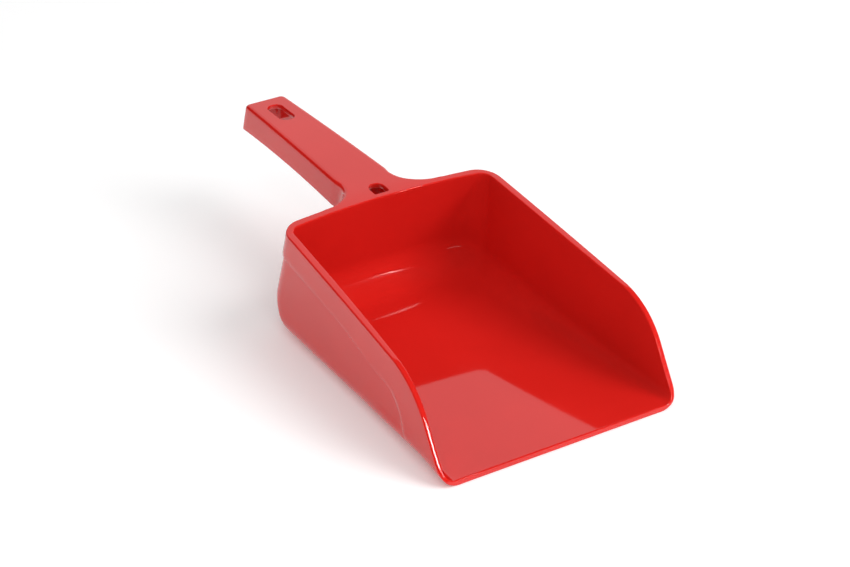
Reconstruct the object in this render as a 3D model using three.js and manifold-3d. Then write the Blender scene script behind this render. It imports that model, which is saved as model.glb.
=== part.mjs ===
// Grain scoop shovel: a one-piece injection-moulded hand scoop with an open front,
// a sloping rim, a reinforced rim band and a hollow, downward-open grip.
// The moulding is divided along its own features (floor, fillets, walls, rim band,
// grip plate and grip skirts), each a separate closed solid with a hairline gap.
// Millimetres, +Z up. In here y runs from the front lip (0) back to the grip;
// the exported group moves the origin to the middle of the footprint.
import * as THREE from 'three';
import { mergeVertices } from 'three/addons/utils/BufferGeometryUtils.js';
import Module from 'manifold-3d';

const wasm = await Module();
wasm.setup();

// ---- driving dimensions -------------------------------------------------
const LIP_HALF_WIDTH = 75.1;      // half the width across the lip
const BACK_NARROWING = 6.1;       // how much narrower each side is at the back
const SIDE_HOLLOW = 1.3;          // inward curve of each side, in plan
const SIDE_FLARE = 0.033;         // outward lean of the sides at the lip, per mm of height
const FLARE_END = 154;            // y where that lean has run out

const BOWL_LENGTH = 181;          // lip to the middle of the back rim
const BACK_BOW = 5;               // how far the back rim bows out in plan
const BACK_BOW_LOW = 1.5;         // and the back wall at the floor
const BACK_CORNER_Y = BOWL_LENGTH - BACK_BOW;
const RIM_BACK_Z = 70.6;          // rim height at the back corners
const RIM_SLOPE = 0.135;          // rise of the rim per mm towards the back
const SHOULDER_Y = 29.25;         // where the rim line meets the steep front line
const SHOULDER_Z = RIM_BACK_Z - RIM_SLOPE * (BACK_CORNER_Y - SHOULDER_Y);
const SHOULDER_RADIUS = 46;
const LIP_THICKNESS = 3.75;

const FLOOR_THICKNESS = 3.5;
const SIDE_THICKNESS_LIP = 3;
const SIDE_THICKNESS_BACK = 4.8;
const BACK_THICKNESS = 4.9;
const BACK_LEAN = Math.tan(THREE.MathUtils.degToRad(18));
const BAND_STEP = 0.8;            // how far the rim band stands proud of the wall
const BAND_DEPTH = 17;            // height of the rim band below the rim

const OUTER = { side: 12, heel: 22.8, corner: 12 };
const INNER = { side: 8.8, heel: 19.3, corner: 9 };

const GRIP_END = 317.1;           // top edge of the grip's end wall
const GRIP_HALF_ROOT = 17.9;
const GRIP_HALF_END = 13.4;
const GRIP_RISE = 0.036;
const GRIP_SAG = 1.47e-4;
const GRIP_PLATE = 3;             // thickness of the grip's top plate
const GRIP_SKIRT = 17.6;          // full depth of the grip
const GRIP_SKIRT_WAIST = 1.9;     // the grip is this much shallower half way
const GRIP_WALL = 3;
const GRIP_LEAN = THREE.MathUtils.degToRad(13);
const FLARE_RADIUS = 20;
const FLARE_CENTRE = new THREE.Vector2(37.2, 199.8);

const SLOT_HALF_WIDTH = 4.7;
const SLOT_HALF_LENGTH = 10.8;
const SLOT_CENTRE_Y = 295.2;
const D_HOLE_HALF_WIDTH = 4.5;
const D_HOLE_Y = 181;             // straight side, along the outer face of the back
const D_HOLE_LENGTH = 9.2;

const GAP = 0.3;                  // hairline gap between neighbouring solids
const FAR = 400;                  // larger than the part, for cutting blocks

// ---- how finely curves are divided ---------------------------------------
const RING_STATIONS = [-8, 15, 40, 65, 90, 115, 140];     // y of the points along a side
const FILLET_STATIONS = [0, 0.04, 0.14, 0.3, 0.5, 0.74, 1];
const UPPER_RINGS = [45, 85];     // ring heights above the fillets
const CORNER_STEPS = 5;
const BACK_STEPS = 4;
const FLARE_STEPS = 7;
const FLARE_LAST_ANGLE = -Math.PI + 0.03;
const GRIP_FIRST_STATION = 204;
const GRIP_STATION_STEP = 18;
const GRIP_STATION_MARGIN = 4;

// ---- surfaces -----------------------------------------------------------
function halfWidth(y, z) {
  const t = y / BOWL_LENGTH;
  const taper = BACK_NARROWING * t + SIDE_HOLLOW * t * (1 - t);
  return LIP_HALF_WIDTH - taper + SIDE_FLARE * z * (1 - y / FLARE_END);
}

function sideThickness(y) {
  const t = y / BACK_CORNER_Y;
  return SIDE_THICKNESS_LIP + (SIDE_THICKNESS_BACK - SIDE_THICKNESS_LIP) * t;
}

const RIM_MID_Z = RIM_BACK_Z + RIM_SLOPE * BACK_BOW;

function topHeight(y) {
  const behind = y - BOWL_LENGTH;
  if (behind <= 0) {
    return RIM_MID_Z + RIM_SLOPE * behind;
  }
  return RIM_MID_Z + GRIP_RISE * behind - GRIP_SAG * behind * behind;
}

// inset of a fillet of the given radius at height h above its floor
function filletInset(radius, h) {
  if (h >= radius) {
    return 0;
  }
  return radius - Math.sqrt(Math.max(radius * radius - (radius - h) ** 2, 0));
}

// Plan outline of the bowl block at height z. skin gives the radii, the floor
// height and how far the surface lies inside the outermost one.
function bowlRing(z, skin) {
  const h = Math.max(z - skin.floor, 0);
  const sideIn = filletInset(skin.side, h);
  const heelTop = skin.floor + skin.heel;
  const backY = BACK_CORNER_Y + (RIM_BACK_Z - Math.max(z, heelTop)) * BACK_LEAN
    - skin.backInset - filletInset(skin.heel, h);
  const edge = (y) => halfWidth(y, z) - skin.sideInset(y) - sideIn;
  const r = skin.corner;
  const w = edge(backY - r);
  const half = [];
  for (const y of RING_STATIONS) {
    half.push(new THREE.Vector2(edge(y), y));
  }
  for (let i = 0; i <= CORNER_STEPS; i += 1) {
    const a = (i / CORNER_STEPS) * Math.PI / 2;
    half.push(new THREE.Vector2(w - r + r * Math.cos(a), backY - r + r * Math.sin(a)));
  }
  for (let i = 1; i <= BACK_STEPS; i += 1) {
    half.push(new THREE.Vector2((w - r) * (1 - i / BACK_STEPS), backY));
  }
  const bow = THREE.MathUtils.lerp(BACK_BOW_LOW, BACK_BOW, Math.min(z / RIM_BACK_Z, 1));
  for (const p of half) {
    if (p.y > backY - r) {
      p.y += bow * (1 - (p.x / w) ** 2);
    }
  }
  const mirrored = half.slice(0, -1).reverse().map((p) => new THREE.Vector2(-p.x, p.y));
  return half.concat(mirrored);
}

// Closed geometry through a stack of plan rings with the same number of points.
function loft(rings, heights) {
  const count = rings[0].length;
  const positions = [];
  const index = [];
  rings.forEach((ring, k) => {
    for (const p of ring) {
      positions.push(p.x, p.y, heights[k]);
    }
  });
  for (let k = 0; k + 1 < rings.length; k += 1) {
    for (let i = 0; i < count; i += 1) {
      const a = k * count + i;
      const b = k * count + (i + 1) % count;
      index.push(a, b, b + count, a, b + count, a + count);
    }
  }
  const last = (rings.length - 1) * count;
  for (const [a, b, c] of THREE.ShapeUtils.triangulateShape(rings[0], [])) {
    index.push(a, c, b);
  }
  for (const [a, b, c] of THREE.ShapeUtils.triangulateShape(rings[rings.length - 1], [])) {
    index.push(last + a, last + b, last + c);
  }
  const geometry = new THREE.BufferGeometry();
  geometry.setAttribute('position', new THREE.Float32BufferAttribute(positions, 3));
  geometry.setIndex(index);
  return geometry;
}

// ---- solids -------------------------------------------------------------
function toSolid(geometry) {
  const bare = geometry.clone();
  bare.deleteAttribute('normal');
  bare.deleteAttribute('uv');
  const merged = mergeVertices(bare, 1e-4);
  return new wasm.Manifold(new wasm.Mesh({
    numProp: 3,
    vertProperties: new Float32Array(merged.attributes.position.array),
    triVerts: new Uint32Array(merged.index.array),
  }));
}

function toGeometry(solid) {
  const mesh = solid.getMesh();
  const geometry = new THREE.BufferGeometry();
  geometry.setAttribute('position', new THREE.BufferAttribute(mesh.vertProperties, 3));
  geometry.setIndex(new THREE.BufferAttribute(mesh.triVerts, 1));
  geometry.computeVertexNormals();
  return geometry;
}

// A box between two corners.
function block(x0, x1, y0, y1, z0, z1) {
  const geometry = new THREE.BoxGeometry(x1 - x0, y1 - y0, z1 - z0);
  geometry.translate((x0 + x1) / 2, (y0 + y1) / 2, (z0 + z1) / 2);
  return toSolid(geometry);
}

// A side-view outline (y, z) extruded right across the part.
function acrossPart(shape) {
  const options = { depth: 2 * FAR, bevelEnabled: false, curveSegments: 10 };
  const geometry = new THREE.ExtrudeGeometry(shape, options);
  geometry.translate(0, 0, -FAR);
  const basis = new THREE.Matrix4().makeBasis(
    new THREE.Vector3(0, 1, 0),
    new THREE.Vector3(0, 0, 1),
    new THREE.Vector3(1, 0, 0),
  );
  geometry.applyMatrix4(basis);
  return toSolid(geometry);
}

// ---- the bowl block, outside and inside ----------------------------------
function bowlBlock(radii, floor, sideInset, backInset) {
  const skin = { ...radii, floor, sideInset, backInset };
  const rises = FILLET_STATIONS.map((f) => f * radii.side);
  rises.push((radii.side + radii.heel) / 2, radii.heel, ...UPPER_RINGS);
  const heights = rises.map((h) => floor + h);
  return toSolid(loft(heights.map((z) => bowlRing(z, skin)), heights));
}

const bandBlock = bowlBlock(OUTER, 0, () => 0, 0);
const wallBlock = bowlBlock(OUTER, 0, () => BAND_STEP, BAND_STEP);
const hollowBlock = bowlBlock(INNER, FLOOR_THICKNESS, sideThickness, BACK_THICKNESS);

// Everything below the rim, in side view: lip, steep front, shoulder arc, rim line.
function belowRim() {
  const corner = new THREE.Vector2(SHOULDER_Y, SHOULDER_Z);
  const alongRim = new THREE.Vector2(1, RIM_SLOPE).normalize();
  const alongFront = new THREE.Vector2(-SHOULDER_Y, LIP_THICKNESS - SHOULDER_Z).normalize();
  const halfAngle = Math.acos(alongRim.dot(alongFront)) / 2;
  const reach = SHOULDER_RADIUS / Math.tan(halfAngle);
  const bisector = alongRim.clone().add(alongFront).normalize();
  const centre = corner.clone().addScaledVector(bisector, SHOULDER_RADIUS / Math.sin(halfAngle));
  const start = corner.clone().addScaledVector(alongFront, reach).sub(centre).angle();
  const end = corner.clone().addScaledVector(alongRim, reach).sub(centre).angle();
  const shape = new THREE.Shape();
  shape.moveTo(0, -1);
  shape.lineTo(0, LIP_THICKNESS);
  shape.absarc(centre.x, centre.y, SHOULDER_RADIUS, start, end, true);
  shape.lineTo(FAR, RIM_BACK_Z + RIM_SLOPE * (FAR - BACK_CORNER_Y));
  shape.lineTo(FAR, -1);
  return acrossPart(shape);
}

const rimCut = belowRim();
const thickShell = bandBlock.subtract(hollowBlock).intersect(rimCut);
const thinShell = wallBlock.subtract(hollowBlock).intersect(rimCut);

// Side view of the rim band: its lower edge runs parallel to the rim and then
// sweeps down to the front edge.
const BAND_BEND = new THREE.Vector2(80, 0);
BAND_BEND.y = SHOULDER_Z + RIM_SLOPE * (BAND_BEND.x - SHOULDER_Y) - BAND_DEPTH;
const BAND_FRONT = new THREE.Vector2(33, 16);
const BAND_PULL = new THREE.Vector2(34, 8);    // control point of the bend, back from BAND_BEND

function bandRegion(shift) {
  const drop = new THREE.Vector2(0, -shift / 2);
  const bend = BAND_BEND.clone().add(drop);
  const front = BAND_FRONT.clone().add(drop);
  const shape = new THREE.Shape();
  shape.moveTo(FAR, bend.y + RIM_SLOPE * (FAR - bend.x));
  shape.lineTo(bend.x, bend.y);
  shape.quadraticCurveTo(bend.x - BAND_PULL.x, bend.y - BAND_PULL.y, front.x, front.y);
  shape.lineTo(-FAR, front.y);
  shape.lineTo(-FAR, FAR);
  shape.lineTo(FAR, FAR);
  return acrossPart(shape);
}

const bandZone = bandRegion(-GAP);
const wallZone = block(-FAR, FAR, -FAR, FAR, -FAR, FAR).subtract(bandRegion(GAP));

// ---- region limits ------------------------------------------------------
const G = GAP / 2;
const LIP_STRIP = 16;             // depth of the front lip strip
const FLOOR_HALF = 56;            // half-width of the flat floor
const FLOOR_END = 166;            // where the floor starts to curve up
const BACK_HALF = 50;             // half-width of the back between its corners
const FILLET_TOP = 15;            // top of the floor-to-side fillets
const HEEL_TOP = 24;              // top of the floor-to-back fillet
const SIDE_END = 158;             // where the sides reach the back corners

const nodes = [];

function addNode(name, solid) {
  nodes.push([name, solid]);
}

const floorZone = block(-FLOOR_HALF + G, FLOOR_HALF - G, LIP_STRIP + G, FLOOR_END - G, -1, HEEL_TOP);
const lipZone = block(-FLOOR_HALF + G, FLOOR_HALF - G, -1, LIP_STRIP - G, -1, HEEL_TOP);
const heelZone = block(-BACK_HALF + G, BACK_HALF - G, FLOOR_END + G, FAR, -1, HEEL_TOP - G);
const backZone = block(-BACK_HALF + G, BACK_HALF - G, FLOOR_END + G, FAR, HEEL_TOP + G, FAR);

addNode('front_lip', thinShell.intersect(lipZone));
addNode('floor', thinShell.intersect(floorZone));
addNode('heel_fillet', thinShell.intersect(heelZone));
addNode('back_wall', thinShell.intersect(backZone).intersect(wallZone));
addNode('rim_band_back', thickShell.intersect(backZone).intersect(bandZone));

for (const [side, sign] of [['left', -1], ['right', 1]]) {
  const beside = (inner, y0, y1, z0, z1) => {
    const xs = [sign * (inner + G), sign * FAR].sort((a, b) => a - b);
    return block(xs[0], xs[1], y0, y1, z0, z1);
  };
  const filletZone = beside(FLOOR_HALF, -1, SIDE_END - G, -1, FILLET_TOP - G);
  const sideZone = beside(FLOOR_HALF, -1, SIDE_END - G, FILLET_TOP + G, FAR);
  const cornerLow = beside(FLOOR_HALF, SIDE_END + G, FLOOR_END + G, -1, HEEL_TOP - G)
    .add(beside(BACK_HALF, FLOOR_END + G, FAR, -1, HEEL_TOP - G));
  const cornerHigh = beside(BACK_HALF, SIDE_END + G, FAR, HEEL_TOP + G, FAR);
  addNode(`floor_fillet_${side}`, thinShell.intersect(filletZone));
  addNode(`side_wall_${side}`, thinShell.intersect(sideZone).intersect(wallZone));
  addNode(`rim_band_${side}`, thickShell.intersect(sideZone).intersect(bandZone));
  addNode(`heel_corner_${side}`, thinShell.intersect(cornerLow));
  addNode(`back_corner_${side}`, thinShell.intersect(cornerHigh).intersect(wallZone));
  addNode(`rim_corner_${side}`, thickShell.intersect(cornerHigh).intersect(bandZone));
}

// ---- the grip -----------------------------------------------------------
function gripHalf(y) {
  return THREE.MathUtils.mapLinear(y, BOWL_LENGTH, GRIP_END, GRIP_HALF_ROOT, GRIP_HALF_END);
}

// Right-hand edge of the grip in plan, from the back rim round the flare to the end,
// moved inwards by inset.
function gripEdge(inset, y0, y1) {
  const edge = [];
  const radius = FLARE_RADIUS + inset;
  for (let i = 0; i <= FLARE_STEPS; i += 1) {
    const a = THREE.MathUtils.lerp(-Math.PI / 2, FLARE_LAST_ANGLE, i / FLARE_STEPS);
    const x = FLARE_CENTRE.x + radius * Math.cos(a);
    const y = FLARE_CENTRE.y + radius * Math.sin(a);
    if (y > y0 && y < y1) {
      edge.push(new THREE.Vector2(x, y));
    }
  }
  for (let y = GRIP_FIRST_STATION; y < y1 - GRIP_STATION_MARGIN; y += GRIP_STATION_STEP) {
    if (y > y0) {
      edge.push(new THREE.Vector2(gripHalf(y) - inset, y));
    }
  }
  return edge;
}

// Plan outline of the grip between two stations, moved inwards by inset.
function gripOutline(inset, y0, y1) {
  const right = gripEdge(inset, y0, y1);
  if (y0 > FLARE_CENTRE.y) {
    right.unshift(new THREE.Vector2(gripHalf(y0) - inset, y0));
  } else {
    right.unshift(new THREE.Vector2(right[0].x, y0));
  }
  right.push(new THREE.Vector2(gripHalf(y1) - inset, y1));
  const left = right.map((p) => new THREE.Vector2(-p.x, p.y)).reverse();
  return right.concat(left);
}

// Extrude a plan outline down from the sloping top surface. Depths are measured
// along the leaning draw direction of the moulding.
function downFromTop(shape, depth0, depth1) {
  const options = { depth: 1, bevelEnabled: false, curveSegments: 6 };
  const geometry = new THREE.ExtrudeGeometry(shape, options);
  const p = geometry.attributes.position;
  for (let i = 0; i < p.count; i += 1) {
    const y = p.getY(i);
    const low = typeof depth1 === 'function' ? depth1(y) : depth1;
    const depth = p.getZ(i) > 0.5 ? depth0 : low;
    const back = depth * Math.sin(GRIP_LEAN);
    const down = depth * Math.cos(GRIP_LEAN);
    p.setXYZ(i, p.getX(i), y + back, topHeight(y) - down);
  }
  return toSolid(geometry);
}

function skirtDepth(y) {
  const t = THREE.MathUtils.clamp((y - BOWL_LENGTH) / (GRIP_END - BOWL_LENGTH), 0, 1);
  return GRIP_SKIRT - GRIP_SKIRT_WAIST * 4 * t * (1 - t);
}

const ROOT_START = BOWL_LENGTH - 4;
const ROOT_END = 205;
const RIB_START = 201.5;          // cross rib inside the root
const RIB_THICKNESS = 2.6;
const RIB_SHORTFALL = 1.2;        // the rib stops this much above the skirts' lower edge
const backClearance = bowlBlock(OUTER, 0, () => -GAP, -GAP);

const rootShape = new THREE.Shape(gripOutline(0, ROOT_START, ROOT_END - G));
const dHole = new THREE.Path();
dHole.moveTo(-D_HOLE_HALF_WIDTH, D_HOLE_Y);
dHole.lineTo(-D_HOLE_HALF_WIDTH, D_HOLE_Y + D_HOLE_LENGTH - D_HOLE_HALF_WIDTH);
dHole.absarc(0, D_HOLE_Y + D_HOLE_LENGTH - D_HOLE_HALF_WIDTH, D_HOLE_HALF_WIDTH, Math.PI, 0, true);
dHole.lineTo(D_HOLE_HALF_WIDTH, D_HOLE_Y);
rootShape.holes.push(dHole);
addNode('grip_root', downFromTop(rootShape, 0, GRIP_PLATE).subtract(backClearance));

const plateShape = new THREE.Shape(gripOutline(0, ROOT_END + G, GRIP_END));
const slot = new THREE.Path();
const slotRun = SLOT_HALF_LENGTH - SLOT_HALF_WIDTH;
slot.moveTo(SLOT_HALF_WIDTH, SLOT_CENTRE_Y - slotRun);
slot.absarc(0, SLOT_CENTRE_Y - slotRun, SLOT_HALF_WIDTH, 0, Math.PI, true);
slot.absarc(0, SLOT_CENTRE_Y + slotRun, SLOT_HALF_WIDTH, Math.PI, 0, true);
plateShape.holes.push(slot);
addNode('grip_plate', downFromTop(plateShape, 0, GRIP_PLATE));

// Skirts hang below the plate. Each is the strip between the grip's edge and the
// same edge moved inwards by the wall thickness.
const END_WALL_Y = GRIP_END - GRIP_WALL;
const skirtTop = GRIP_PLATE + GAP;

function skirtStrip(sign, y0, y1) {
  const outer = gripEdge(0, y0, y1);
  const inner = gripEdge(GRIP_WALL, y0, y1);
  if (y0 > FLARE_CENTRE.y) {
    outer.unshift(new THREE.Vector2(gripHalf(y0), y0));
    inner.unshift(new THREE.Vector2(gripHalf(y0) - GRIP_WALL, y0));
  }
  outer.push(new THREE.Vector2(gripHalf(y1), y1));
  inner.push(new THREE.Vector2(gripHalf(y1) - GRIP_WALL, y1));
  const strip = outer.concat(inner.reverse());
  return new THREE.Shape(strip.map((p) => new THREE.Vector2(sign * p.x, p.y)));
}

for (const [side, sign] of [['left', -1], ['right', 1]]) {
  const rootStrip = skirtStrip(sign, ROOT_START, ROOT_END - G);
  const gripStrip = skirtStrip(sign, ROOT_END + G, END_WALL_Y - GAP);
  const root = downFromTop(rootStrip, skirtTop, skirtDepth).subtract(backClearance);
  addNode(`root_skirt_${side}`, root);
  addNode(`grip_skirt_${side}`, downFromTop(gripStrip, skirtTop, skirtDepth));
}

const ribHalf = gripHalf(RIB_START) - GRIP_WALL - GAP;
const ribShape = new THREE.Shape([
  new THREE.Vector2(ribHalf, RIB_START),
  new THREE.Vector2(ribHalf, RIB_START + RIB_THICKNESS),
  new THREE.Vector2(-ribHalf, RIB_START + RIB_THICKNESS),
  new THREE.Vector2(-ribHalf, RIB_START),
]);
addNode('root_rib', downFromTop(ribShape, skirtTop, (y) => skirtDepth(y) - RIB_SHORTFALL));

const endShape = new THREE.Shape([
  new THREE.Vector2(GRIP_HALF_END, END_WALL_Y),
  new THREE.Vector2(GRIP_HALF_END, GRIP_END),
  new THREE.Vector2(-GRIP_HALF_END, GRIP_END),
  new THREE.Vector2(-GRIP_HALF_END, END_WALL_Y),
]);
addNode('grip_end_wall', downFromTop(endShape, skirtTop, skirtDepth));

// ---- the scene ----------------------------------------------------------
const scoop = new THREE.Group();
scoop.name = 'grain_scoop_shovel';
const moulding = new THREE.Group();
const overallLength = GRIP_END + GRIP_SKIRT * Math.sin(GRIP_LEAN);
moulding.position.set(0, -overallLength / 2, 0);
scoop.add(moulding);

for (const [name, solid] of nodes) {
  const plastic = new THREE.MeshStandardMaterial({ color: 0xc8141a, roughness: 0.28, metalness: 0 });
  const mesh = new THREE.Mesh(toGeometry(solid), plastic);
  mesh.name = name;
  moulding.add(mesh);
}

export default scoop;
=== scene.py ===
"""Grain scoop shovel: one seamless red moulding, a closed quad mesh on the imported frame."""
import math

import bmesh
import bpy
import numpy as np
from mathutils import Matrix, Vector


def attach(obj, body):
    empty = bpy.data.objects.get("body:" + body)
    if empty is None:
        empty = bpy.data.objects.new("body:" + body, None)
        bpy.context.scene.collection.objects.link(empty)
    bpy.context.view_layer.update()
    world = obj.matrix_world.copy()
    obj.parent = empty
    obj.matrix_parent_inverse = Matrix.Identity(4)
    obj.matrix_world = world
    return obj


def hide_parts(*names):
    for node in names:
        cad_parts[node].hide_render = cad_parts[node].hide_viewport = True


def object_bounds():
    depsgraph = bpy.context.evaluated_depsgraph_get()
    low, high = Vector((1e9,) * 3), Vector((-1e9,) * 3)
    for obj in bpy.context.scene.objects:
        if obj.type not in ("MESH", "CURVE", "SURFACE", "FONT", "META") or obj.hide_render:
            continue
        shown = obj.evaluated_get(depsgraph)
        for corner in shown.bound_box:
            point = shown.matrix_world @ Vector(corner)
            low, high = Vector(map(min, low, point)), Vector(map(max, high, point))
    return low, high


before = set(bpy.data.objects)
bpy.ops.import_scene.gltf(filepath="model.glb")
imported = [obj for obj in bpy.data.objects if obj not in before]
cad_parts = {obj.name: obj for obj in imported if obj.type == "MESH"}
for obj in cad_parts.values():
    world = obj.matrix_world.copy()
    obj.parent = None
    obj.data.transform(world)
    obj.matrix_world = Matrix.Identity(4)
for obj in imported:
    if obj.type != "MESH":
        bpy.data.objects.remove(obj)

cad_low, cad_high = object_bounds()

MM = 0.001
LIP_Y = cad_low.y / MM            # row-frame y of the lip; lengths below run back from it

# ---- driving dimensions, in millimetres -----------------------------------
LIP_HALF = 75.1                   # half the width across the lip
NARROWING = 6.1                   # each side comes in by this much towards the back
HOLLOW = 1.3                      # inward curve of the sides, in plan
FLARE = 0.033                     # outward lean of the sides at the lip
FLARE_END = 154.0
BOWL = 181.0                      # lip to the middle of the back rim
BOW = 5.0                         # the back rim bows out by this much
BOW_LOW = 1.5                     # and this much at the floor
CORNER_Y = BOWL - BOW
RIM_Z = 70.45                     # rim height at the back corners
RIM_SLOPE = 0.135                 # rise of the rim towards the back
RIM_CROWN = 0.45                  # upward bow of the rim line, side view
SHOULDER_Y = 29.25                # where the rim line and the steep front line would meet
SHOULDER_Z = RIM_Z - RIM_SLOPE * (CORNER_Y - SHOULDER_Y)
SHOULDER_R = 46.0
LIP_Z = 3.75                      # thickness of the lip
FRONT_BULGE = 0.5                 # how far the steep front line bows out
FRONT_BULGE_WAY = (0.36, -0.2)    # and in which direction, in y and z
FRONT_FOOT = 0.5                  # how softly the upright lip turns into the front line
LEAN = math.radians(18.0)         # backward lean of the back wall, going down

FLOOR_Z = 3.6                     # thickness of the floor
OUT_HEEL_R, IN_HEEL_R = 20.5, 17.0             # fillet between floor and back
OUT_CORNER_R, OUT_CORNER_LESS = 12.0, 1.5      # plan radius of the back corners, less lower down
IN_CORNER_R, IN_CORNER_MORE = 5.5, 11.5        # and inside, where it grows downwards
OUT_SIDE_R, OUT_SIDE_MORE, OUT_SIDE_LESS = 11.0, 3.2, 2.2     # fillet between floor and sides
IN_SIDE_R, IN_SIDE_MORE = 5.5, 11.5
WALL_LIP, WALL_MORE, WALL_BACK_MORE = 3.0, 1.5, 0.3           # thickness of the sides
WALL_BACK = 4.9                   # thickness of the back
RIM_IN_R = 0.7                    # rounding of the rim's inner and outer edges
RIM_OUT_R = 0.9
STEP = 0.8                        # the rim band stands proud by this much
BAND = 17.1                       # band height along the back and sides
BAND_FRONT = 3.8                  # extra band height towards the front
PANEL_Y, PANEL_Z, PANEL_R = 62.5, 12.5, 22.0   # rounded front end of the recessed side panel
STEP_RUN = 0.6                    # half the height over which the step is made
STEP_DOWN_MAX = 0.62              # the step lies no further down a column than this share
STEP_REACH = 1.1                  # rows are close together this far above and below the step

GRIP_END = 316.5                  # top edge of the grip's end
GRIP_ROOT_HALF, GRIP_END_HALF = 17.9, 13.4
GRIP_RISE, GRIP_SAG = 0.036, 1.47e-4
TURN_Y, TURN_RUN = 172.0, 20.0    # where the rim's slope turns into the grip's
GRIP_PLATE = 3.0                  # thickness of the grip's top
GRIP_DEPTH, GRIP_WAIST = 17.4, 1.9             # full depth, and how much less half way
GRIP_WALL = 3.0
GRIP_LEAN = math.radians(13.0)    # the mould's draw direction leans back by this
GRIP_EDGE_R = 2.4                 # rounding of the grip's top edge
GRIP_CORNER_R = 3.2               # plan radius of the grip's end corners
GRIP_DRAFT = 0.6                  # the skirts are this much further out at their foot
SKIRT_EDGE_R = 0.8
CHANNEL_R = 1.5                   # rounding between the channel's roof and its walls
CHANNEL_CORNER_R = 1.6
SLOT_HALF, SLOT_FRONT, SLOT_REAR, SLOT_R = 4.7, 284.6, 306.1, 4.0
D_HALF, D_FRONT, D_REAR, D_CORNER_R = 4.5, 180.0, 190.2, 0.8
HOLE_EDGE_R, SLOT_LOW_R, D_LOW_R = 0.7, 0.5, 0.3              # upper and lower edges of the holes
RIB_Y, RIB = 198.5, 2.6           # cross rib inside the root of the grip
RIB_SINK = 1.0                    # how far its ends and top run into the walls round it
RIB_SHORT = 1.2                   # it stops this much above the skirts' foot
FLARE_R = 20.0                    # plan radius where the grip runs into the rim
FLARE_X, FLARE_Y = 36.6, 199.8
JOIN_X = 40.0                     # where the grip's outline leaves the back rim
RIM_BACK_HALF = 68.2              # half-width of the back rim, for its bow
HANDOVER_BOW = 0.9                # the rim's strip ends in a line bowed by this, at the grip
ROOT_BLEND = 12.0                 # run over which the rim's edge becomes the grip's edge
STRAIGHT_Y = 205.0                # rows across the grip are straight from here on

# ---- how finely each stretch is divided ------------------------------------
N_LIP, N_LIP_CORNER, N_SIDE, N_ARC, N_BACK, N_JOIN = 12, 16, 64, 12, 4, 10
N_EDGE, N_FLAT = 5, 3
N_INNER, N_BAND, N_STEP, N_OUTER = 30, 5, 6, 26
DENSE = 240                       # points of a column before it is divided into rows
LIP_RUN_X, LIP_RUN_Y, SIDE_START = 57.0, 5.0, 7.0
FLARE_POINTS, GRIP_POINTS = 15, 42
GRIP_START = 203.5                # first point of the grip's straight edge
END_ROWS = 8                      # rows over which the grip's rows take the end's shape
UNDER_ROWS = 14                   # rows over which its underside leaves the bowl's shape
FLOOR_SMOOTHING = 60
WELD = 4e-6                       # metres

# ---- looks -------------------------------------------------------------------
BASE_DARK = (0.61, 0.014, 0.010, 1.0)
BASE_LIGHT = (0.67, 0.016, 0.012, 1.0)
GLOSS = 0.05                      # roughness of the polished plastic
GLOSS_LESS, GLOSS_MORE = 0.012, 0.014          # and how far it wanders
SCUFF_ROUGH, SCUFF_DEPTH = 0.1, -0.35
FLOOR_WHITE, FLOOR_LIFT = 0.97, 0.12
WORLD_LIGHT = 0.50
WHITE = (1, 1, 1, 1)

# camera: lens in millimetres, position in millimetres from the middle of the lip
LENS = 105.14541
CAMERA_AT = (-640.264, -876.340, 720.271)
CAMERA_RIGHT = (0.845127, -0.534565, 0.000741)
CAMERA_UP = (0.265463, 0.420890, 0.867399)
CAMERA_BACK = (-0.463993, -0.732866, 0.497613)


def smooth(t):
    t = np.clip(t, 0.0, 1.0)
    return t * t * (3.0 - 2.0 * t)


# ---- heights and widths -----------------------------------------------------
def slope_at(y):
    behind = y - BOWL
    grip = GRIP_RISE - 2 * GRIP_SAG * behind
    return RIM_SLOPE + (grip - RIM_SLOPE) * smooth((y - TURN_Y) / TURN_RUN)


TOP_Y = np.linspace(-20.0, 340.0, 7201)
TOP_RISE = slope_at((TOP_Y[1:] + TOP_Y[:-1]) / 2) * np.diff(TOP_Y)
TOP_Z = np.concatenate([[0.0], np.cumsum(TOP_RISE)])
TOP_Z += RIM_Z - RIM_SLOPE * CORNER_Y - np.interp(0.0, TOP_Y, TOP_Z)


def top_height(y):
    """Height of the rim's plane and of the grip's top, which run into each other."""
    return np.interp(y, TOP_Y, TOP_Z)


def rim_profile():
    """Side view of the rim from the lip to the back: front line, shoulder arc, rim line."""
    corner = np.array([SHOULDER_Y, SHOULDER_Z])
    along = np.array([1.0, RIM_SLOPE]) / math.hypot(1.0, RIM_SLOPE)
    front = np.array([-SHOULDER_Y, LIP_Z - SHOULDER_Z])
    front /= np.linalg.norm(front)
    half = math.acos(float(along @ front)) / 2
    reach = SHOULDER_R / math.tan(half)
    mid = (along + front) / np.linalg.norm(along + front)
    centre = corner + mid * SHOULDER_R / math.sin(half)
    a, b = corner + front * reach - centre, corner + along * reach - centre
    a0, a1 = math.atan2(a[1], a[0]), math.atan2(b[1], b[0])
    t = np.linspace(0, 1, 60)
    lip = np.array([0.0, LIP_Z])
    tangent = corner + front * reach
    line = lip + (tangent - lip) * t[:, None]
    line += np.array(FRONT_BULGE_WAY) * (FRONT_BULGE * 4 * t * (1 - t))[:, None]
    ang = a0 + (a1 - a0) * t
    arc = centre + SHOULDER_R * np.stack([np.cos(ang), np.sin(ang)], 1)
    ys = np.linspace(arc[-1, 0], 230.0, 120)
    straight = CORNER_Y - arc[-1, 0]
    crown = np.clip(4 * (ys - arc[-1, 0]) * (CORNER_Y - ys) / straight ** 2, 0, None)
    rim = np.stack([ys, top_height(ys) + RIM_CROWN * crown], 1)
    rim[0] = arc[-1]
    return np.concatenate([line[:-1], arc[:-1], rim])


PROFILE = rim_profile()


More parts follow.
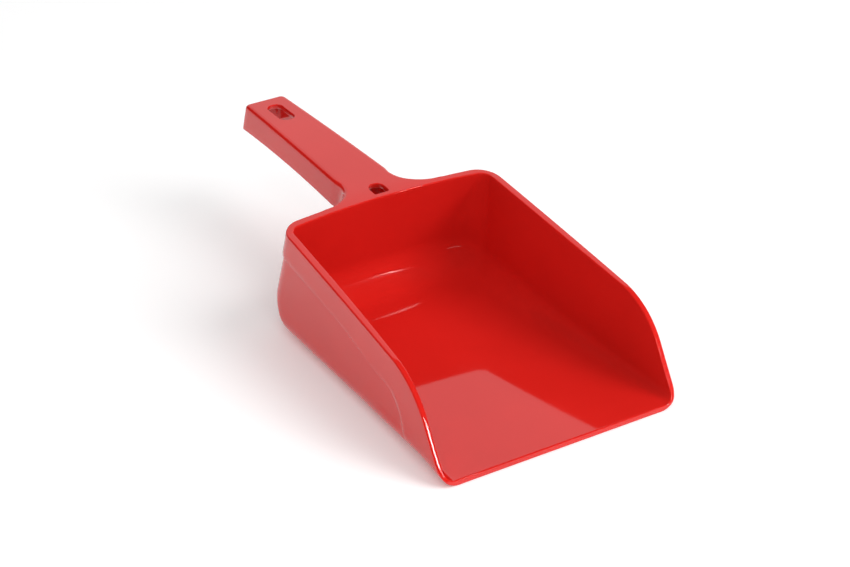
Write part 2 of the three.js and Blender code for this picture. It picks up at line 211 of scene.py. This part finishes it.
def rim_height(y):
    return np.interp(y, PROFILE[:, 0], PROFILE[:, 1])


def cut_y(z):
    """y of the front edge at height z: upright at the lip, then up the steep front line."""
    t = (z - LIP_Z) * SHOULDER_Y / (SHOULDER_Z - LIP_Z)
    return (t + np.sqrt(t * t + FRONT_FOOT)) / 2


def half_width(y, z):
    t = y / BOWL
    return LIP_HALF - NARROWING * t - HOLLOW * t * (1 - t) + FLARE * z * (1 - y / FLARE_END)


def fillet_in(radius, h):
    h = np.clip(h, 0.0, radius)
    return radius - np.sqrt(np.maximum(radius * radius - (radius - h) ** 2, 0.0))


def panel_inset(y, z):
    """How far the outer wall lies inside the rim band: 0 on the band, STEP on the panel."""
    line = rim_height(np.maximum(y, PANEL_Y)) - BAND - BAND_FRONT * smooth((110.0 - y) / 45.0)
    above = line - z
    dy = PANEL_Y - y
    dz = np.maximum(z - PANEL_Z, 0.0)
    round_end = PANEL_R - np.sqrt(np.maximum(dy, 0.0) ** 2 + dz ** 2)
    inside = np.where(y > PANEL_Y, above, np.minimum(above, round_end))
    fade = smooth((z - 6.0) / 12.0 + smooth((y - 60.0) / 40.0))
    return STEP * smooth((inside + STEP_RUN) / (2 * STEP_RUN)) * fade


class Sheet:
    """One face of the bowl's wall: the outside, or the inside."""

    def __init__(self, floor, wall, back, heel, side_r, corner_r, step):
        self.floor, self.wall, self.back, self.heel = floor, wall, back, heel
        self.side_r, self.corner_r, self.step = side_r, corner_r, step
        top = floor + heel * (1 + math.sin(LEAN))
        self.heel_top = top
        self.heel_y = self.wall_y(top) - heel * math.cos(LEAN)

    def wall_y(self, z):
        return CORNER_Y + (RIM_Z - z) * math.tan(LEAN) - self.back

    def back_y(self, z):
        z = np.asarray(z, float)
        arc = np.sqrt(np.maximum(self.heel ** 2 - (z - self.floor - self.heel) ** 2, 0.0))
        return np.where(z >= self.heel_top, self.wall_y(z), self.heel_y + arc)

    def half(self, y, z):
        inset = self.wall(y) + fillet_in(self.side_r(y), z - self.floor)
        return half_width(y, z) - inset - (panel_inset(y, z) if self.step else 0.0)

    def arc_start(self, z):
        return self.back_y(z) - self.corner_r(z)

    def ring(self, u, z):
        """Point at height z: u is 0 to 1 round the corner, 1 to 2 along the back to the middle."""
        inset = panel_inset(np.full_like(z, CORNER_Y), z) if self.step else 0.0
        r = self.corner_r(z)
        back = self.back_y(z) - inset
        start = back - r
        h0 = self.half(start, z)
        ang = np.clip(u, 0, 1) * math.pi / 2
        xn = 1 - (r / h0) * (1 - np.cos(ang))
        xn = xn * (1 - np.clip(u - 1, 0, 1))
        y = start + r * np.sin(ang)
        x = xn * self.half(np.minimum(y, back), z)
        bow = BOW_LOW + (BOW - BOW_LOW) * smooth(z / RIM_Z)
        return x, y + bow * (1 - xn * xn)

    def side_column_point(self, y, a):
        """a is the distance up from the floor's edge, round the fillet and up the wall."""
        r = self.side_r(y)
        phi = np.clip(a / r, 0.0, math.pi / 2)
        z = self.floor + r * (1 - np.cos(phi)) + np.maximum(a - r * math.pi / 2, 0.0)
        inset = self.wall(y) + r * (1 - np.sin(phi)) + (panel_inset(y, z) if self.step else 0.0)
        x = half_width(y, z) - inset + np.minimum(a, 0.0)
        return np.stack([x, y, z], -1)

    def a_of(self, y, z):
        r = self.side_r(y)
        h = z - self.floor
        low = r * np.arccos(np.clip(1 - h / r, -1, 1))
        return np.where(h >= r, r * math.pi / 2 + h - r, low)


def out_side_r(y):
    return OUT_SIDE_R + OUT_SIDE_MORE * smooth(y / 25.0) - OUT_SIDE_LESS * smooth((y - 55.0) / 55.0)


def in_side_r(y):
    return IN_SIDE_R + IN_SIDE_MORE * np.clip(y / 163.0, 0, 1) ** 1.8


def side_wall(y):
    return WALL_LIP + WALL_MORE * smooth(y / 120.0) + WALL_BACK_MORE * y / CORNER_Y


outside = Sheet(0.0, lambda y: 0.0 * y, 0.0, OUT_HEEL_R, out_side_r,
                lambda z: OUT_CORNER_R - OUT_CORNER_LESS * smooth((RIM_Z - z) / 50.0), True)
inside = Sheet(FLOOR_Z, side_wall, WALL_BACK, IN_HEEL_R, in_side_r,
               lambda z: IN_CORNER_R + IN_CORNER_MORE * smooth((RIM_Z - z) / 46.0), False)


# ---- columns: dense lines from the rim down to the flat floor ----------------
def side_columns(sheet):
    last = CORNER_Y - 16.0                    # a first guess, made exact by the loop
    for _ in range(30):
        last = float(sheet.arc_start(rim_height(last)))
    f = np.linspace(0, 1, N_SIDE + 1)
    f = 0.55 * f + 0.45 * f ** 2
    out = []
    for y0 in SIDE_START + f * (last - SIDE_START):
        z0 = float(rim_height(y0))
        follow = smooth((y0 - 60.0) / (last - 60.0)) if y0 > 60 else 0.0
        start = float(sheet.arc_start(z0))
        a = np.linspace(float(sheet.a_of(y0, z0)), 0.0, DENSE)
        z = sheet.side_column_point(np.full(DENSE, y0), a)[:, 2]
        y = y0 + follow * (sheet.arc_start(z) - start)
        pts = sheet.side_column_point(y, a)
        if y0 >= last - 1e-6:
            pts[:, 0] = sheet.ring(np.zeros(DENSE), pts[:, 2])[0]
        out.append(pts)
    return out


def round_columns(sheet):
    """Corner and back columns, from just after the corner's start to the middle."""
    hb = float(sheet.ring(np.array([1.0]), np.array([RIM_Z]))[0][0])
    join = 2 - JOIN_X / hb
    us = list(np.linspace(0, 1, N_ARC + 1)[1:])
    us += list(np.linspace(1, join, N_BACK + 1)[1:])
    us += list(np.linspace(join, 2, N_JOIN + 1)[1:])
    out = []
    for u in us:
        z0 = RIM_Z
        for _ in range(12):
            y = sheet.ring(np.array([u]), np.array([z0]))[1][0]
            z0 = float(top_height(y))
        ang = np.linspace(LEAN, -math.pi / 2, DENSE // 2)
        low = sheet.floor + sheet.heel * (1 + np.sin(ang))
        z = np.concatenate([np.linspace(z0, sheet.heel_top, DENSE - DENSE // 2 + 1)[:-1], low])
        x, y = sheet.ring(np.full(DENSE, u), z)
        out.append(np.stack([x, y, z], 1))
    return out


def lip_columns(sheet):
    """Columns along the lip and round its corner, as straight lines in the (y, a) chart."""
    start_z = float(rim_height(SIDE_START))
    z = np.linspace(sheet.floor, start_z, 400)
    z = sheet.floor + (start_z - sheet.floor) * ((z - z[0]) / (z[-1] - z[0])) ** 2
    y = cut_y(z)
    y = y * SIDE_START / y[-1]
    y = y - y[0] * (1 - z / start_z)
    lip_a = LIP_RUN_X - float(sheet.side_column_point(np.array(0.0), np.array(0.0))[0])
    chart = np.concatenate([[[0.0, lip_a]], np.stack([y, sheet.a_of(y, z)], 1)])
    fine = np.concatenate([np.linspace(chart[0], chart[1], 60)[:-1], chart[1:]])
    xyz = sheet.side_column_point(fine[:, 0], fine[:, 1])
    length = distances(xyz)
    out = []
    for x in np.linspace(0, 1, N_LIP + 1)[:-1] * LIP_RUN_X:
        ys = np.linspace(0, LIP_RUN_Y, DENSE)
        out.append(np.stack([np.full(DENSE, x), ys, np.full(DENSE, sheet.floor)], 1))
    for k in range(N_LIP_CORNER):
        f = k / N_LIP_CORNER
        s = f * length[-1]
        y0, a0 = np.interp(s, length, fine[:, 0]), np.interp(s, length, fine[:, 1])
        ang = f * math.pi / 2
        y1 = LIP_RUN_Y + (SIDE_START - LIP_RUN_Y) * (1 - math.cos(ang))
        a1 = lip_a * (1 - math.sin(ang))
        t = np.linspace(0, 1, DENSE)
        out.append(sheet.side_column_point(y0 + (y1 - y0) * t, a0 + (a1 - a0) * t))
    return out


def columns(sheet):
    return lip_columns(sheet) + side_columns(sheet) + round_columns(sheet)


def distances(line):
    """How far along a polyline each of its points is."""
    return np.concatenate([[0], np.cumsum(np.linalg.norm(np.diff(line, axis=0), axis=1))])


def resample(line, at):
    """Points of a polyline at the given distances along it."""
    run = distances(line)
    return np.stack([np.interp(at, run, line[:, k]) for k in range(3)], 1)


in_cols, out_cols = columns(inside), columns(outside)
N_COLS = len(in_cols)
FIRST_JOIN = N_COLS - 1 - N_JOIN


def inner_rows(line):
    total = distances(line)[-1]
    start = min(RIM_IN_R, 0.25 * total)
    return resample(line, start + (total - start) * np.linspace(0, 1, N_INNER + 1))


def step_place(line):
    """Distance down an outer column at which the band ends."""
    run = distances(line)
    lowest = STEP_DOWN_MAX * run[-1]
    over = np.nonzero(panel_inset(line[:, 1], line[:, 2]) > STEP / 2)[0]
    place = run[over[0]] if len(over) and over[0] > 0 else lowest
    return min(place, lowest)


def outer_rows(line):
    total = distances(line)[-1]
    start = min(RIM_OUT_R, 0.25 * total)
    place = step_place(line)
    reach = min(STEP_REACH, 0.06 * total)
    at = np.concatenate([
        np.linspace(start, place - reach, N_BAND + 1),
        np.linspace(place - reach, place + reach, N_STEP + 1)[1:],
        np.linspace(place + reach, total, N_OUTER + 1)[1:],
    ])
    return resample(line, at)


inner = np.stack([inner_rows(c) for c in in_cols])
outer = np.stack([outer_rows(c) for c in out_cols])

# ---- the mesh: patches of quads, mirrored, welded ----------------------------
patches = []


def patch(points):
    patches.append(np.asarray(points, float))


def edge_arc(corner, s, b, steps):
    """From corner + s, round the edge, to the point b on the wall."""
    t = np.linspace(0, math.pi / 2, steps + 1)[:, None]
    d = b - corner
    return corner + s * (1 - np.sin(t)) + d * (1 - np.cos(t))


def unit(v):
    return v / np.linalg.norm(v)


def rim_edge(x):
    """Plan line of the back rim's outer edge."""
    return BOWL - BOW * (x / RIM_BACK_HALF) ** 2


def mid_line(x):
    """Where the rim's strip hands over to the grip's top face, at the back."""
    y = rim_edge(JOIN_X) - RIM_OUT_R - HANDOVER_BOW * (1 - (x / JOIN_X) ** 2)
    return np.array([x, y, float(top_height(y))])


strip, out_edge = [], []
for k in range(N_COLS):
    ci, co = in_cols[k][0], out_cols[k][0]
    s = unit(co - ci)
    gap = np.linalg.norm(co - ci)
    ri = min(RIM_IN_R, 0.3 * gap)
    arc_in = edge_arc(ci, s * ri, inner[k][0], N_EDGE)[::-1]
    arc_out = edge_arc(co, -s * min(RIM_OUT_R, 0.35 * gap), outer[k][0], N_EDGE)
    end = arc_out[0]
    if k > FIRST_JOIN:
        end = mid_line(ci[0] * JOIN_X / in_cols[FIRST_JOIN][0][0])
    flat = np.linspace(arc_in[-1], end, N_FLAT + 1)
    strip.append(np.concatenate([arc_in, flat[1:]]))
    out_edge.append(arc_out)
strip, out_edge = np.stack(strip), np.stack(out_edge)
patch(inner)
patch(strip)
patch(out_edge[:FIRST_JOIN + 1])
patch(outer[:FIRST_JOIN + 1])
wall_from = N_BAND + N_STEP
patch(outer[FIRST_JOIN:, wall_from:])


def floor_patch(loop):
    """Flat floor inside the half loop of column ends, from the lip's middle to the back's."""
    front_n = N_LIP + N_LIP_CORNER // 2
    back_n = N_ARC // 2 + N_BACK + N_JOIN
    assert front_n == back_n
    front = loop[:front_n + 1]
    side = loop[front_n:len(loop) - back_n]
    back = loop[::-1][:back_n + 1]
    rows = len(side)
    g = np.zeros((rows, front_n + 1, 3))
    v = (side[:, 1] - side[0, 1]) / (side[-1, 1] - side[0, 1])
    middle = front[0] + (back[0] - front[0]) * v[:, None]
    g[0], g[-1], g[:, 0], g[:, -1] = front, back, middle, side
    u = np.linspace(0, 1, front_n + 1)
    for i in range(1, rows - 1):
        for j in range(1, front_n):
            g[i, j] = ((1 - v[i]) * front[j] + v[i] * back[j]
                       + (1 - u[j]) * middle[i] + u[j] * side[i]
                       - (1 - v[i]) * ((1 - u[j]) * front[0] + u[j] * front[-1])
                       - v[i] * ((1 - u[j]) * back[0] + u[j] * back[-1]))
    for _ in range(FLOOR_SMOOTHING):
        g[1:-1, 1:-1] = (g[:-2, 1:-1] + g[2:, 1:-1] + g[1:-1, :-2] + g[1:-1, 2:]) / 4
    return g


patch(floor_patch(inner[:, -1]))
patch(floor_patch(outer[:, -1]))


# ---- the grip, as a solid block joined to the back rim -----------------------
def grip_half(y):
    return GRIP_ROOT_HALF + (GRIP_END_HALF - GRIP_ROOT_HALF) * (y - BOWL) / (GRIP_END - BOWL)


def grip_outline():
    """Right-hand outline in plan, from the back rim round the flare to the end's middle."""
    pts = []
    lift = FLARE_Y - FLARE_R - rim_edge(FLARE_X)
    for x in (JOIN_X, JOIN_X - 1.1, JOIN_X - 2.2):
        pts.append((x, rim_edge(x) + lift * float(smooth((JOIN_X - x) / (JOIN_X - FLARE_X)))))
    for a in np.linspace(-90.0, -178.0, FLARE_POINTS):
        r = math.radians(a)
        pts.append((FLARE_X + FLARE_R * math.cos(r), FLARE_Y + FLARE_R * math.sin(r)))
    end = GRIP_END - GRIP_CORNER_R
    for y in np.linspace(GRIP_START, end, GRIP_POINTS):
        pts.append((float(grip_half(y)), y))
    cx = GRIP_END_HALF - GRIP_CORNER_R
    side_count = len(pts) + 3                 # the grip's faces turn at the corner's middle
    for a in (15.0, 30.0, 45.0, 60.0, 75.0, 90.0):
        r = math.radians(a)
        pts.append((cx + GRIP_CORNER_R * math.cos(r), end + GRIP_CORNER_R * math.sin(r)))
    for x in np.linspace(cx, 0.0, N_JOIN - 3 + 1)[1:]:
        pts.append((x, GRIP_END))
    return np.array(pts), side_count


outline, side_count = grip_outline()
tangent = np.gradient(outline, axis=0)
tangent /= np.linalg.norm(tangent, axis=1)[:, None]
normals = np.stack([tangent[:, 1], -tangent[:, 0]], 1)
normals[0] = unit(np.array([2 * BOW * JOIN_X / RIM_BACK_HALF ** 2, 1.0]))
normals[-1] = (0.0, 1.0)
into = smooth((outline[:, 1] - outline[0, 1]) / ROOT_BLEND)
edge_r = RIM_OUT_R + (GRIP_EDGE_R - RIM_OUT_R) * into
lean = LEAN + (GRIP_LEAN - LEAN) * into
along = np.clip((outline[:, 1] - BOWL) / (GRIP_END - BOWL), 0, 1)
depth = GRIP_DEPTH / np.cos(GRIP_LEAN) - GRIP_WAIST * 4 * along * (1 - along)


def grip_point(k, e, d):
    """Outline point k moved out by e in plan and down by d along the leaning draw direction."""
    x = outline[k, 0] + normals[k, 0] * e
    y = outline[k, 1] + normals[k, 1] * e
    return np.array([x, y + d * math.sin(lean[k]), float(top_height(y)) - d * math.cos(lean[k])])


def skirt_row(k):
    """From the top face over the edge, down the skirt and round its foot."""
    r, rb = edge_r[k], SKIRT_EDGE_R
    pts = []
    for t in np.linspace(0, math.pi / 2, N_EDGE + 1):
        pts.append(grip_point(k, -r * (1 - math.sin(t)), r * (1 - math.cos(t))))
    for f in np.linspace(0, 1, N_BAND + 1)[1:]:
        d = r + (depth[k] - rb - r) * f
        pts.append(grip_point(k, GRIP_DRAFT * f * into[k], d))
    for t in np.linspace(0, math.pi / 2, N_STEP + 1)[1:]:
        out = GRIP_DRAFT * into[k] - rb * (1 - math.cos(t))
        pts.append(grip_point(k, out, depth[k] - rb * (1 - math.sin(t))))
    return np.array(pts)


skirt = np.stack([skirt_row(k) for k in range(len(outline))])
skirt[0] = np.concatenate([out_edge[FIRST_JOIN], outer[FIRST_JOIN][1:wall_from + 1]])
patch(skirt)


def grip_face(edge, first_row):
    """Half of a face of the grip, between its boundary points and the row at the bowl."""
    side, end = edge[:side_count], edge[side_count - 1:]
    rows = side_count
    xi_root = first_row[::-1, 0] / first_row[0, 0]
    xi_end = end[::-1, 0] / end[0, 0]
    g = np.zeros((rows, N_JOIN + 1, 3))
    for i in range(rows):
        xe, ye, ze = side[i]
        f = i / (rows - 1)
        xi = xi_root * (1 - f) + xi_end * f
        base = np.interp(xe * xi, first_row[::-1, 0], first_row[::-1, 1])
        base_e = np.interp(xe, first_row[::-1, 0], first_row[::-1, 1])
        tau = np.clip((ye - base_e) / (STRAIGHT_Y - base_e), 0, 1)
        y = ye + (base - base_e) * (1 - tau)
        near = smooth((i - (rows - 1 - END_ROWS)) / END_ROWS)
        y = y + (end[::-1, 1] - end[0, 1]) * near
        g[i, :, 0] = xe * xi
        g[i, :, 1] = y
        g[i, :, 2] = ze
    g[0] = first_row[::-1]
    g[-1] = end[::-1]
    g[:, -1] = side
    return g


top = grip_face(skirt[:, 0], strip[FIRST_JOIN:, -1])
top[1:, :, 2] = top_height(top[1:, :, 1])
patch(top)
first = outer[FIRST_JOIN:, wall_from]
under = grip_face(skirt[:, -1], first)
for i in range(1, UNDER_ROWS):
    f = float(smooth(i / UNDER_ROWS))
    drop = np.interp(under[i, :, 0], first[::-1, 0], first[::-1, 2])
    under[i, :, 2] += (drop - drop[-1]) * (1 - f)
patch(under)


def new_object(name, bm):
    bmesh.ops.recalc_face_normals(bm, faces=bm.faces)
    mesh = bpy.data.meshes.new(name)
    bm.to_mesh(mesh)
    bm.free()
    obj = bpy.data.objects.new(name, mesh)
    bpy.context.scene.collection.objects.link(obj)
    return obj


def mirrored_patches(name, grids):
    bm = bmesh.new()
    for points in grids:
        rows, cols = points.shape[:2]
        for sign in (1, -1):
            place = (points * (sign, 1, 1) + (0, LIP_Y, 0)) * MM
            verts = [[bm.verts.new(p) for p in row] for row in place]
            for i in range(rows - 1):
                for j in range(cols - 1):
                    quad = [verts[i][j], verts[i + 1][j], verts[i + 1][j + 1], verts[i][j + 1]]
                    bm.faces.new(quad if sign > 0 else quad[::-1])
    bmesh.ops.remove_doubles(bm, verts=bm.verts, dist=WELD)
    return new_object(name, bm)


scoop = mirrored_patches("scoop_moulding", patches)


# ---- hollows cut into the grip: channel underneath, hanging slot, D-hole -----
def loft(name, rings):
    """Closed solid through a stack of mirrored plan loops with equal counts."""
    bm = bmesh.new()
    layers = []
    for right in rings:
        left = right[::-1] * np.array([-1.0, 1.0, 1.0])
        place = (np.concatenate([right, left]) + (0, LIP_Y, 0)) * MM
        layers.append([bm.verts.new(p) for p in place])
    n = len(layers[0])
    for a, b in zip(layers, layers[1:]):
        for i in range(n):
            bm.faces.new((a[i], a[(i + 1) % n], b[(i + 1) % n], b[i]))
    for cap in (layers[0], layers[-1]):
        for i in range(n // 2 - 1):
            bm.faces.new((cap[i], cap[i + 1], cap[n - 2 - i], cap[n - 1 - i]))
    return new_object(name, bm)


def arc_points(cx, cy, r, a0, a1, steps):
    a = np.radians(np.linspace(a0, a1, steps + 1))
    return np.stack([cx + r * np.cos(a), cy + r * np.sin(a)], 1)


def from_top(xy, d):
    """Plan points moved down from the top surface along the leaning draw direction."""
    return np.stack([xy[:, 0], xy[:, 1] + d * math.sin(GRIP_LEAN),
                     top_height(xy[:, 1]) - d * math.cos(GRIP_LEAN)], 1)


def hole_rings(half, edge, depth, low_edge):
    """Right halves of the rings of a hole through the top plate, both its edges rounded."""
    whole = np.concatenate([half, half[::-1] * np.array([-1.0, 1.0])])
    t = np.roll(whole, -1, axis=0) - np.roll(whole, 1, axis=0)
    t /= np.linalg.norm(t, axis=1)[:, None]
    out = np.stack([t[:, 1], -t[:, 0]], 1)[:len(half)]
    levels = [(-1.5, edge)]
    for a in np.linspace(0.3, math.pi / 2, 6):
        levels.append((edge * (1 - math.cos(a)), edge * (1 - math.sin(a))))
    for a in np.linspace(0.0, 1.3, 4):
        levels.append((depth - low_edge * (1 - math.sin(a)), low_edge * (1 - math.cos(a))))
    levels += [(depth + 0.9, low_edge)]
    return [from_top(half + out * off, d) for d, off in levels]


slot_half = np.concatenate([
    arc_points(SLOT_HALF - SLOT_R, SLOT_FRONT + SLOT_R, SLOT_R, -90, 0, 10),
    arc_points(SLOT_HALF - SLOT_R, SLOT_REAR - SLOT_R, SLOT_R, 0, 90, 10),
])
d_half = np.concatenate([
    arc_points(D_HALF - D_CORNER_R, D_FRONT + D_CORNER_R, D_CORNER_R, -90, 0, 4),
    arc_points(0.0, D_REAR - D_HALF, D_HALF, 0, 84, 13),
])


def channel_rings():
    """The hollow under the grip, one wall thickness inside its outline. A level is a fixed
    depth, the share of the grip's own depth that is added to it, and an extra inset."""
    roof, foot = CHANNEL_R, SKIRT_EDGE_R
    turns = [(math.cos(t), math.sin(t)) for t in np.linspace(0, math.pi / 2, 6)]
    levels = [(GRIP_PLATE + roof * (1 - c), 0.0, roof * (1 - s)) for c, s in turns]
    levels += [(d, 0.0, 0.0) for d in (7.0, 10.0, 12.5)]
    levels += [(-foot * (1 - s), 1.0, foot * (c - 1)) for c, s in turns]
    levels += [(2.5, 1.0, -foot)]
    last = side_count - 4                     # the last outline point before the end corner

    def line(level, first):
        fixed, share, off = level
        inset = GRIP_WALL + off
        pts = [grip_point(k, -inset, fixed + share * depth[k]) for k in range(first, last)]
        x, y, r = GRIP_END_HALF - inset, GRIP_END - inset, CHANNEL_CORNER_R
        corner = from_top(arc_points(x - r, y - r, r, 0, 90, 6), fixed + share * depth[-1])
        return np.concatenate([np.array(pts), corner])

    def front_y(z):
        return float(outside.ring(np.array([2.0]), np.array([z]))[1][0]) + 0.04

    def clear(first):
        starts = [line(level, first)[0] for level in levels]
        return all(p[1] > front_y(p[2]) + 0.4 for p in starts)

    first = next(k for k in range(last) if clear(k))
    rings = []
    for level in levels:
        half = line(level, first)
        x, z = half[0, 0], half[0, 2]
        rings.append(np.concatenate([[[x, front_y(z), z]], half]))
    return rings


def rib_rings():
    """Cross rib of the root, its ends sunk into the skirts and its top into the plate."""
    half = float(grip_half(RIB_Y)) - GRIP_WALL + RIB_SINK
    sides = np.array([(half, RIB_Y), (half, RIB_Y + RIB)])
    return [from_top(sides, d) for d in (GRIP_PLATE - RIB_SINK, GRIP_DEPTH - RIB_SHORT)]


PLATE_DROP = GRIP_PLATE / math.cos(GRIP_LEAN)
for name, kind, rings in (
        ("slot", "DIFFERENCE", hole_rings(slot_half, HOLE_EDGE_R, PLATE_DROP, SLOT_LOW_R)),
        ("d_hole", "DIFFERENCE", hole_rings(d_half, HOLE_EDGE_R, PLATE_DROP, D_LOW_R)),
        ("channel", "DIFFERENCE", channel_rings()),
        ("rib", "UNION", rib_rings())):
    tool = loft(name, rings)
    mod = scoop.modifiers.new(name, "BOOLEAN")
    mod.operation, mod.solver, mod.object = kind, "EXACT", tool
    graph = bpy.context.evaluated_depsgraph_get()
    carved = bpy.data.meshes.new_from_object(scoop.evaluated_get(graph))
    scoop.modifiers.clear()
    scoop.data = carved
    bpy.data.objects.remove(tool, do_unlink=True)

for p in scoop.data.polygons:
    p.use_smooth = True
scoop.data.set_sharp_from_angle(angle=math.radians(40))

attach(scoop, "root")
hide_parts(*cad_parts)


# ---- material ------------------------------------------------------------------
def node(tree, kind, **inputs):
    made = tree.nodes.new(kind)
    for key, value in inputs.items():
        made.inputs[key.replace("_", " ")].default_value = value
    return made


def noise(tree, coords, scale, detail=4.0, rough=0.5):
    made = node(tree, "ShaderNodeTexNoise", Scale=scale, Detail=detail, Roughness=rough)
    tree.links.new(coords, made.inputs["Vector"])
    return made.outputs["Fac"]


def remap(tree, value, low, high, to_low, to_high):
    made = node(tree, "ShaderNodeMapRange", From_Min=low, From_Max=high,
                To_Min=to_low, To_Max=to_high)
    tree.links.new(value, made.inputs["Value"])
    return made.outputs["Result"]


def mix_colors(tree, factor, a, b):
    made = tree.nodes.new("ShaderNodeMix")
    made.data_type = "RGBA"
    tree.links.new(factor, made.inputs["Factor"])
    made.inputs["A"].default_value = a
    made.inputs["B"].default_value = b
    return made.outputs["Result"]


def multiply_add(tree, value, factor, addend):
    made = tree.nodes.new("ShaderNodeMath")
    made.operation = "MULTIPLY_ADD"
    tree.links.new(value, made.inputs[0])
    made.inputs[1].default_value = factor
    tree.links.new(addend, made.inputs[2])
    return made.outputs["Value"]


def red_plastic():
    """Polished red plastic: slight cloudiness, a fine grain and a few long scuffs."""
    mat = bpy.data.materials.new("red_plastic")
    mat.use_nodes = True
    tree = mat.node_tree
    shader = tree.nodes["Principled BSDF"]
    coords = tree.nodes.new("ShaderNodeTexCoord").outputs["Object"]
    cloud = noise(tree, coords, 14.0, 3.0)
    grain = noise(tree, coords, 420.0, 3.0)
    stretch = node(tree, "ShaderNodeMapping",
                   Scale=(900.0, 26.0, 900.0), Rotation=(0.0, 0.0, 0.12))
    tree.links.new(coords, stretch.inputs["Vector"])
    marks = noise(tree, stretch.outputs["Vector"], 1.0, 2.0)
    scuffs = remap(tree, marks, 0.66, 0.8, 0.0, 1.0)

    tone = remap(tree, cloud, 0.3, 0.7, 0.0, 1.0)
    color = mix_colors(tree, tone, BASE_DARK, BASE_LIGHT)
    tree.links.new(color, shader.inputs["Base Color"])

    gloss = remap(tree, cloud, 0.3, 0.7, GLOSS - GLOSS_LESS, GLOSS + GLOSS_MORE)
    rough = multiply_add(tree, scuffs, SCUFF_ROUGH, gloss)
    tree.links.new(rough, shader.inputs["Roughness"])
    shader.inputs["IOR"].default_value = 1.5

    bump = node(tree, "ShaderNodeBump", Strength=0.05, Distance=0.00005)
    tree.links.new(multiply_add(tree, scuffs, SCUFF_DEPTH, grain), bump.inputs["Height"])
    tree.links.new(bump.outputs["Normal"], shader.inputs["Normal"])
    return mat


scoop.data.materials.clear()
scoop.data.materials.append(red_plastic())

# ---- floor, light, camera ------------------------------------------------------
bpy.ops.mesh.primitive_plane_add(size=30, location=(0, 0, cad_low.z - 0.0001))
ground = bpy.context.object
ground.name = "ground"
pale = bpy.data.materials.new("pale_floor")
pale.use_nodes = True
for socket, value in (("Base Color", (FLOOR_WHITE, FLOOR_WHITE, FLOOR_WHITE, 1)),
                      ("Roughness", 0.9), ("Specular IOR Level", 0.1),
                      ("Emission Color", WHITE), ("Emission Strength", FLOOR_LIFT)):
    pale.node_tree.nodes["Principled BSDF"].inputs[socket].default_value = value
ground.data.materials.append(pale)

world = bpy.data.worlds.new("studio")
world.use_nodes = True
world.node_tree.nodes["Background"].inputs["Color"].default_value = WHITE
world.node_tree.nodes["Background"].inputs["Strength"].default_value = WORLD_LIGHT
bpy.context.scene.world = world
world.cycles_visibility.glossy = False


def softbox(name, direction, distance, width, depth, radiance, seen=True, lights=True):
    """A rectangular light facing the scoop; radiance is its brightness as seen. Without seen
    it makes no reflection, without lights it makes nothing but a reflection."""
    light = bpy.data.lights.new(name, "AREA")
    light.shape, light.size, light.size_y = "RECTANGLE", width, depth
    light.energy = radiance * math.pi * width * depth
    obj = bpy.data.objects.new(name, light)
    towards = Vector(direction).normalized()
    obj.location = towards * distance
    obj.rotation_euler = towards.to_track_quat("Z", "Y").to_euler()
    obj.visible_glossy = seen
    obj.visible_diffuse = lights
    bpy.context.scene.collection.objects.link(obj)


softbox("key", (0.415, -0.822, 0.392), 6.0, 0.22, 1.10, 30.0)
softbox("fill_right", (0.42, -0.60, 0.68), 3.0, 1.8, 1.8, 4.9, seen=False)
softbox("fill_left", (-0.35, -0.60, 0.72), 3.0, 2.4, 2.4, 1.45, seen=False)
softbox("backdrop", (0.55, 0.72, 0.40), 4.0, 7.0, 4.2, 0.92, lights=False)

cam = bpy.data.objects.new("camera", bpy.data.cameras.new("camera"))
bpy.context.scene.collection.objects.link(cam)
cam.data.sensor_width = 36.0
cam.data.lens = LENS
pose = Matrix((CAMERA_RIGHT, CAMERA_UP, CAMERA_BACK)).transposed().to_4x4()
pose.translation = (Vector(CAMERA_AT) + Vector((0, LIP_Y, 0))) * MM
cam.matrix_world = pose
cam.data.clip_start, cam.data.clip_end = 0.05, 20
bpy.context.scene.camera = cam
bpy.context.scene.view_settings.view_transform = "Standard"
